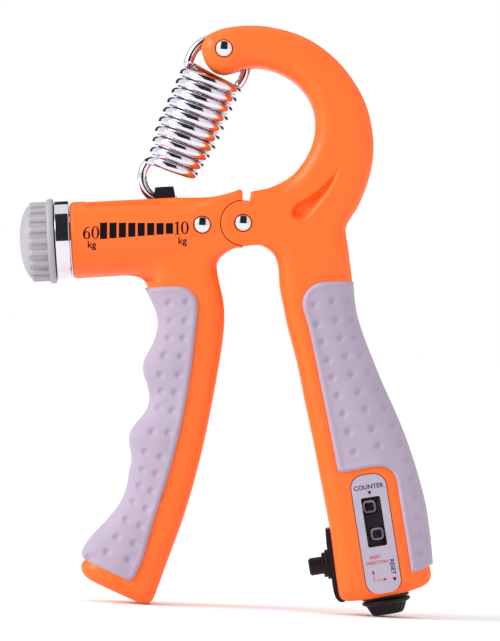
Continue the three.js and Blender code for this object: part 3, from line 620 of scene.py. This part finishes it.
RIBS = 20
RIB_START = -12.2
rib_lengths = np.concatenate([np.linspace(RIB_START, RIB_START + 0.9, 10), np.linspace(-11.1, -7.35, 8)])


def ribs(angles, along):
    """Raised ribs with upright sides and a rounded outer end."""
    if not RIB_START < along < -7.2:
        return 0 * angles
    turned = (angles * RIBS / (2 * math.pi) + 0.5) % 1 - 0.5
    end = quarter((along - RIB_START) / 0.9)
    return 0.95 * end * np.sqrt(np.clip(1 - (turned / (0.1 + 0.18 * end)) ** 2, 0, 1))


knob_profile = [
    (0, -15), (2, -14.93), (4, -14.72), (6, -14.3), (7.6, -13.75), (8.7, -13.2), (9.3, -12.8), (9.6, -12.5),
    *[(9.85, float(along)) for along in rib_lengths], (10.1, -7.25), (10.9, -7.2), (11.25, -7.1),
    (11.45, -6.85), (11.52, -6.5), (11.52, -6.0), (11.42, -5.65), (11.2, -5.45), (10.8, -5.4), (0, -5.4),
]
add("ribbed_knob", *lathe(knob_profile, RIBS * 24, "x", ribs), FINISHES["knob_plastic"], "knob", BARREL,
    hides=["tension_knob"], slot="knob_plastic", crease=60)


THREAD_PITCH = 1.25
THREAD_DEPTH = 0.14


def thread(angles, along):
    return THREAD_DEPTH * (np.cos(2 * math.pi * along / THREAD_PITCH - angles) - 1)


threads = [(2.48, float(along)) for along in np.arange(-5.2, 31.4, 0.16)]
add("threaded_screw", *lathe([(0, -11.7), (2.3, -11.7), *threads, (0, 31.5)], 28, "x", thread),
    FINISHES["steel"], "knob", BARREL, hides=["lead_screw"], slot="steel")

# ---- spring: loop round the head pin, coil and hook, in one wire ----
WIRE_RADIUS = 1.3
COIL_TOP = np.array([-8.1, 0, 40.4])
COIL_TILT = math.radians(24)
COIL_TURNS = 10
COIL_PITCH = 2.84
coil_axis = np.array([-math.sin(COIL_TILT), 0, -math.cos(COIL_TILT)])
coil_across = np.array([math.cos(COIL_TILT), 0, -math.sin(COIL_TILT)])


def coil_middle(turn):
    return COIL_TOP + coil_axis * COIL_PITCH * turn


def coil_point(turn):
    """The coil starts at its left side, and tapers over its last third."""
    radius = 7.5 - 1.5 * smoothstep(COIL_TURNS * 0.62, COIL_TURNS, turn)
    angle = 2 * math.pi * turn
    return (coil_middle(turn) - coil_across * radius * math.cos(angle)
            + np.array([0, radius * math.sin(angle), 0]))


def flat_arc(centre, radius, start, end, steps):
    return [(x, 0, z) for x, z in arc(centre, radius, start, end, steps)]


turns = np.linspace(0, COIL_TURNS - 0.06, 180)
path = [*flat_arc((-7.1, 42.6), 7.75, -42, 160, 26), *[coil_point(turn) for turn in turns],
        *flat_arc((-21.4, 12.4), 6.1, 135, 295, 22)]
split_turn = 5
line = spline(path, 0.4)
split = int(np.argmin(np.linalg.norm(line - coil_point(split_turn), axis=1)))


def tube(line, radius, sides=18):
    """A round wire along the line, as one ring of points at each of its points."""
    along = np.gradient(line, axis=0)
    along /= np.linalg.norm(along, axis=1, keepdims=True)
    side = np.cross(along[0], (0, 1, 0))
    angles = np.linspace(0, 2 * math.pi, sides, endpoint=False)[:, None]
    vertices = []
    for point, direction in zip(line, along):
        side = side - direction * side.dot(direction)
        side /= np.linalg.norm(side)
        other = np.cross(direction, side)
        vertices.append(point + radius * (np.cos(angles) * side + np.sin(angles) * other))
    return np.array(vertices)


rings = tube(line, WIRE_RADIUS)
for end, inner in ((0, 1), (-1, -2)):
    tip, direction = line[end], line[end] - line[inner]
    direction = direction / np.linalg.norm(direction)
    for step, share in enumerate((0.55, 0.85)):
        rings = np.insert(rings, 0 if end == 0 else len(rings), tip + direction * 0.35 * (step + 1)
                          + (rings[end] - tip) * (1 - share * 0.45 * (step + 1)), axis=0)
split += 2


def wire(name, rings, hides, slot, place=DESIGN):
    """A wire from its rings, capped at both ends and set in place on no body, standing in for the hidden nodes."""
    sides = rings.shape[1]
    last = (len(rings) - 1) * sides
    faces = [(start + i, start + (i + 1) % sides, start + sides + (i + 1) % sides, start + sides + i)
             for start in range(0, last, sides) for i in range(sides)]
    faces += [list(range(sides)), list(range(last, last + sides))]
    obj = add(name, rings.reshape(-1, 3), faces, FINISHES[slot], place=place, slot=slot, crease=70)
    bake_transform(obj)
    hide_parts(*hides)


wire("spring_upper", rings[: split + 1],
     ["spring_loop"], "chrome")
wire("spring_lower", rings[split:],
     ["spring_coil", "spring_hook"], "chrome")

# ---- the plunger's return spring ----
PLUNGER_LEVEL = -6.5  # along the counter's axes, as are the ends
RETURN_ENDS = (-14.2, -10.2)
RETURN_RADIUS = 2.15
angles = np.linspace(0, 6 * math.pi, 121)
return_line = np.column_stack([np.linspace(*RETURN_ENDS, len(angles)), RETURN_RADIUS * np.sin(angles),
                               RETURN_RADIUS * np.cos(angles) + PLUNGER_LEVEL])
wire("return_spring", tube(return_line, 0.22, 10),
     ["plunger_spring"], "steel", COUNTER)

# ---- counter ----
label = add("counter_face", *prism(rounded_rectangle(9.5, 32.4, 3.5), -9.6, -8.7), FINISHES["label"],
            "right_lever", COUNTER, hides=["counter_label"], slot="label")
carve(label, [cutter(prism(rounded_rectangle(5.2, 13.5, 0.5, (0, 3.3)), -20, 0), COUNTER)])
bevel = label.modifiers.new("edges", "BEVEL")
bevel.width, bevel.segments, bevel.limit_method, bevel.angle_limit = 0.00018, 3, "ANGLE", math.radians(50)
bevel.harden_normals = True

mask = add("counter_mask", *prism(rounded_rectangle(5.2, 13.5, 0.5, (0, 3.3)), -7.9, -7.4),
           FINISHES["black_plastic"], "right_lever", COUNTER)
carve(mask, [cutter(prism(rounded_rectangle(3.9, 4.2, 0.4, place), -20, 0), COUNTER)
             for place in ((-0.6, 7.4), (0.4, -0.2))])
add("reset_seat", *lathe([(0, -17.95), (6.3, -17.95), (6.5, -17.8), (6.5, -16), (0, -16)], 64, "z"),
    FINISHES["black_plastic"], "right_lever", COUNTER)

# The plunger's guide: a plate along the lever's inner edge, with a collared tube.
GUIDE_OUTLINE = [(22.3, -83.1), (22.9, -82.9), (24.0, -83.2), (24.9, -88), (26.1, -96), (26.8, -100.2),
                 (27.8, -101.9), (27.6, -102.6), (26.6, -102.8), (25.5, -102.2), (24.6, -100.3),
                 (23.7, -94.5), (22.7, -88)]
guide = add("plunger_collar", *prism(spline([*GUIDE_OUTLINE, GUIDE_OUTLINE[0]], 0.5)[:-1], -5.6, 5.6),
            FINISHES["black_plastic"], "right_lever", hides=["plunger_guide"], slot="black_plastic",
            crease=30)
guide_tube = [(0, -15.5), (3.2, -15.5), (3.4, -15.3), (3.4, -14.6), (3.95, -14.5), (4.05, -14.35),
              (4.05, -13.2), (3.4, -13.0), (3.4, -9.2), (0, -9.2)]
carve(guide, [cutter(shift(lathe(guide_tube, 64, "x"), z=PLUNGER_LEVEL), COUNTER)], "UNION", crease=30)
carve(guide, [cutter(shift(cylinder(2.65, -20, -9.6, axis="x"), z=PLUNGER_LEVEL), COUNTER)], crease=30)

wheel_profile = [(1.3, -3.1), (4.35, -3.1), (4.55, -3.0), (4.6, -2.8), (4.6, 2.8), (4.55, 3.0),
                 (4.35, 3.1), (1.3, 3.1), (1.3, -3.1)]
knob_end = [(0, -22.3), (3.6, -22.3), (4.1, -22.15), (4.4, -21.8), (4.75, -20.9), (5.2, -19.9),
            (5.6, -19.5), (6.3, -19.2), (6.55, -19.0), (6.6, -18.7), (6.55, -18.4), (6.3, -18.2),
            (0, -18.2)]


def grips(angles, along):
    return np.where(-21.6 < along < -19.6, 0.14 * np.cos(angles * 18), 0) * np.ones_like(angles)


add("reset_wheel", *shift(lathe(knob_end, 144, "z", grips), y=-1), FINISHES["black_plastic"], "reset",
    COUNTER, hides=["reset_knob"], slot="black_plastic", crease=50)


# ---- print ----
def glyphs(text, height, turn=0.0):
    """Flat lettering of that height, centred, as (x, z) points and faces."""
    curve = bpy.data.curves.new("letters", "FONT")
    curve.body = text
    curve.offset = 0.015
    letters = bpy.data.objects.new("letters", curve)
    bpy.context.scene.collection.objects.link(letters)
    bpy.context.view_layer.update()
    mesh = bpy.data.meshes.new_from_object(letters.evaluated_get(bpy.context.evaluated_depsgraph_get()))
    points = np.array([(v.co.x, v.co.y) for v in mesh.vertices])
    faces = [list(p.vertices) for p in mesh.polygons]
    bpy.data.objects.remove(letters)
    low, high = points.min(0), points.max(0)
    points = (points - (low + high) / 2) * height / (high[1] - low[1])
    c, s = math.cos(turn), math.sin(turn)
    return points @ np.array([[c, s], [-s, c]]), faces


def finer(points, faces, step):
    """The flat shape cut across every step, so that it can follow a round face."""
    edit = bmesh.new()
    corners = [edit.verts.new((x, 0, z)) for x, z in points]
    for face in faces:
        edit.faces.new([corners[i] for i in face])
    for axis in (0, 2):
        values = points[:, axis // 2]
        for cut in np.arange(values.min() + step / 2, values.max(), step):
            place, normal = Vector((0, 0, 0)), Vector((0, 0, 0))
            place[axis], normal[axis] = cut, 1
            geometry = edit.verts[:] + edit.edges[:] + edit.faces[:]
            bmesh.ops.bisect_plane(edit, geom=geometry, plane_co=place, plane_no=normal)
    edit.verts.ensure_lookup_table()
    edit.verts.index_update()
    points = np.array([(v.co.x, v.co.z) for v in edit.verts])
    faces = [[v.index for v in face.verts] for face in edit.faces]
    edit.free()
    return points, faces


def merged(shapes):
    points, faces = [], []
    for shape, (x, z) in shapes:
        start = sum(map(len, points))
        points.append(np.array(shape[0]) + (x, z))
        faces += [[start + i for i in face] for face in shape[1]]
    return np.vstack(points), faces


def stroke(line, widths):
    """A pen stroke along the line, whose width changes."""
    line = np.array(line, float)
    along = np.gradient(line, axis=0)
    along /= np.linalg.norm(along, axis=1, keepdims=True)
    side = np.column_stack([-along[:, 1], along[:, 0]]) * np.array(widths)[:, None] / 2
    points = np.vstack([line + side, line - side])
    count = len(line)
    return points, [(i, i + 1, count + i + 1, count + i) for i in range(count - 1)]


def oval(width, height, thick, thin):
    """A figure nought with thick sides and a thin top and bottom."""
    angles = np.linspace(0, 2 * math.pi, 33)
    line = np.column_stack([(width - thick) / 2 * np.cos(angles), (height - thin) / 2 * np.sin(angles)])
    return stroke(line, thin + (thick - thin) * np.cos(angles) ** 2)


def bar(x, z):
    return [(x[0], z[0]), (x[1], z[0]), (x[1], z[1]), (x[0], z[1])], [(0, 1, 2, 3)]


FIGURE_HEIGHT = 3.5
tail = spline([(0.75, 1.62), (0.1, 1.45), (-0.5, 0.8), (-0.78, 0.0), (-0.8, -0.7)], 0.15)
six = merged([(oval(1.95, 2.2, 0.55, 0.22), (0, -0.65)),
              (stroke(tail, np.linspace(0.2, 0.55, len(tail))), (0, 0))])
one = merged([(bar((-0.26, 0.26), (-1.7, 1.72)), (0, 0)), (bar((-0.65, 0.65), (-1.75, -1.6)), (0, 0)),
              (stroke([(-0.7, 1.15), (-0.1, 1.66)], [0.12, 0.3]), (0, 0))])
nought = oval(2.15, FIGURE_HEIGHT, 0.55, 0.22)
scale_bars = []
for i in range(8):
    left = -38.75 + 2.545 * i
    right = left + 1.95
    top, bottom = 0.05 - 0.02 * i, -4.4 + 0.2 * i
    corners = [(left, bottom), (right, bottom + 0.08), (right, top + 0.08), (left, top)]
    scale_bars.append(((corners, [(0, 1, 2, 3)]), (0, 0)))
scale_print = merged([
    *scale_bars, (six, (-42.3, -2.7)), (nought, (-40.0, -2.6)), (one, (-17.8, -1.4)), (nought, (-15.8, -1.3)),
    (glyphs("kg", 2.5), (-40.9, -6.15)), (glyphs("kg", 2.5), (-16.4, -5.1)),
])


def printed(name, shape, face, material, body, place=DESIGN, step=0.7, hides=()):
    """Ink on a face: a film that follows it, with face(points) giving its y."""
    points, faces = finer(np.array(shape[0]), shape[1], step)
    surface = face(points)
    count = len(points)
    vertices = [*np.column_stack([points[:, 0], surface - 0.03, points[:, 1]]),
                *np.column_stack([points[:, 0], surface + 0.05, points[:, 1]])]
    rims = {}
    for f in faces:
        for a, b in zip(f, [*f[1:], f[0]]):
            rims[(a, b)] = rims.get((a, b), 0) + 1
    sides = [(a, b, b + count, a + count) for a, b in rims if (b, a) not in rims]
    whole = [*faces, *[[count + i for i in reversed(f)] for f in faces], *sides]
    return add(name, vertices, whole, material, body, place, hides, crease=30)


printed("force_scale", scale_print, lambda points: -left_surface(points), BLACK_PRINT, "left_handle")


def flat(level):
    return lambda points: np.full(len(points), level)


triangle = [(-0.55, 0.5), (0.55, 0.5), (0, -0.5)], [(0, 1, 2)]
sideways = [(-0.5, -0.5), (0.5, 0), (-0.5, 0.5)], [(0, 1, 2)]
upwards = [(-0.5, -0.5), (0.5, -0.5), (0, 0.6)], [(0, 1, 2)]
reset_word = glyphs("RESET", 1.15, -math.pi / 2)
printed("counter_words", merged([
    (glyphs("COUNTER", 1.25), (0, 12.9)), (triangle, (0, 11.2)),
    (reset_word, (3.1, -9.5)), (triangle, (3.1, -12.9)),
]), flat(-9.6), BLACK_PRINT, "right_lever", COUNTER)
printed("reset_guide", merged([
    (glyphs("RESET", 0.85), (-1.2, -6.2)), (glyphs("DIRECTION", 0.85), (-1.0, -7.7)),
    (bar((-2.45, -2.3), (-12.6, -10.4)), (0, 0)), (upwards, (-2.37, -10.1)),
    (bar((-1.7, 0.4), (-12.6, -12.45)), (0, 0)), (sideways, (0.7, -12.5)),
]), flat(-9.6), RED_PRINT, "right_lever", COUNTER)


# ---- digit wheels: nought faces the window, and the rest follow round ----
DRUM_RADIUS = 4.6


def wheel(node, body, up, lead):
    add(node.replace("_wheel", "_drum"), *shift(lathe(wheel_profile, 96, "z"), 0, -1, up),
        FINISHES["black_plastic"], body, COUNTER, hides=[node], slot="black_plastic")
    big = rounded_rectangle(3.5, 3.3, 1.0, steps=6)
    small = rounded_rectangle(2.5, 2.3, 0.55, steps=6)
    count = len(big)
    around_ring = [(i, (i + 1) % count, count + (i + 1) % count, count + i) for i in range(count)]
    shapes = [(np.vstack([big, small]), around_ring), *[glyphs(str(digit), 3.2) for digit in range(1, 10)]]
    for digit, shape in enumerate(shapes):
        points, faces = finer(np.array(shape[0]), shape[1], 0.5)
        if digit:
            points = points * (0.95, 1)
        angle = points[:, 0] / DRUM_RADIUS + lead / DRUM_RADIUS + digit * math.radians(36)
        low, high = [np.column_stack([r * np.sin(angle), -1 - r * np.cos(angle), points[:, 1] + up])
                     for r in (4.58, 4.63)]
        size = len(points)
        edges = {(a, b) for f in faces for a, b in zip(f, [*f[1:], f[0]])}
        sides = [(a, b, b + size, a + size) for a, b in edges if (b, a) not in edges]
        whole = [*faces, *[[size + i for i in reversed(f)] for f in faces], *sorted(sides)]
        add(f"{body}_figure_{digit}", np.vstack([high, low]), whole, PALE_PRINT, body, COUNTER)


wheel("tens_wheel", "tens", 7.4, -0.6)
wheel("units_wheel", "units", -0.2, 0.4)

# ---- the CAD nodes that stay in view ----
for name, node in frame["nodes"].items():
    if node.hide_render:
        continue
    node.data.materials.clear()
    node.data.materials.append(FINISHES[slot_of[name]])
    if name in ("slider_nut", "plunger", "counter_frame", "retaining_clip", "thrust_washer"):
        edges = node.modifiers.new("edges", "BEVEL")
        edges.width, edges.segments = 0.00022, 3
        edges.limit_method, edges.angle_limit = "ANGLE", math.radians(40)
        edges.harden_normals = True

# ---- floor, dark screen, light and camera ----
floor_material = finish("floor", (0.94, 0.94, 0.94), 0.9, spread=0.004, mottle=6, grain=200)
bpy.ops.mesh.primitive_plane_add(size=24)
floor = bpy.context.object
floor.name = "floor"
floor.data.materials.append(floor_material)

DARK_CLOTH = finish("dark_cloth", (0.01, 0.01, 0.01), 0.95)


def flag(name, vertices, faces):
    """A dark cloth that shows in polished faces alone, and gives them their dark bands."""
    cloth = add(name, vertices, faces, DARK_CLOTH, place=Matrix.Identity(4))
    cloth.visible_camera = cloth.visible_diffuse = cloth.visible_shadow = False


screen_points = [(side, -1.8 * math.cos(a), 0.1 + 1.8 * math.sin(a))
                 for a in np.radians(np.linspace(-2, 84, 12)) for side in (-0.85, 0.85)]
flag("dark_screen", screen_points, [(2 * i, 2 * i + 1, 2 * i + 3, 2 * i + 2) for i in range(11)])
backing_points = [(r * math.cos(a), 0.8, 0.08 + r * math.sin(a))
                  for r in (0.33, 1.0) for a in np.linspace(0, math.pi, 25)]
flag("dark_backing", backing_points, [(i, i + 1, i + 26, i + 25) for i in range(24)])

world = bpy.data.worlds.new("studio")
bpy.context.scene.world = world
world.use_nodes = True
world.node_tree.nodes["Background"].inputs["Color"].default_value = (1, 1, 1, 1)
world.node_tree.nodes["Background"].inputs["Strength"].default_value = 1.0


def sun(name, strength, angle, aim):
    light = bpy.data.lights.new(name, "SUN")
    light.energy, light.angle = strength, math.radians(angle)
    obj = bpy.data.objects.new(name, light)
    bpy.context.scene.collection.objects.link(obj)
    obj.rotation_mode = "QUATERNION"
    obj.rotation_quaternion = Vector(aim).to_track_quat("-Z", "Y")


sun("key", 2.3, 35, (1.1, 0.5, -0.65))

CAMERA_DISTANCE = 1600
VIEW_HEIGHT = 174.4  # what the picture's longer side takes in at the object
VIEW_CENTRE = (1.82, -26.4)
camera_data = bpy.data.cameras.new("camera")
camera_data.sensor_width = 36
camera_data.lens = camera_data.sensor_width * CAMERA_DISTANCE / VIEW_HEIGHT
camera = bpy.data.objects.new("camera", camera_data)
bpy.context.scene.collection.objects.link(camera)
camera.matrix_world = (
    Matrix.Translation(DESIGN @ Vector((VIEW_CENTRE[0], -CAMERA_DISTANCE, VIEW_CENTRE[1])))
    @ Matrix.Rotation(-stance, 4, "Y") @ Matrix.Rotation(math.pi / 2, 4, "X")
)
bpy.context.scene.camera = camera
bpy.context.scene.view_settings.view_transform = "Standard"
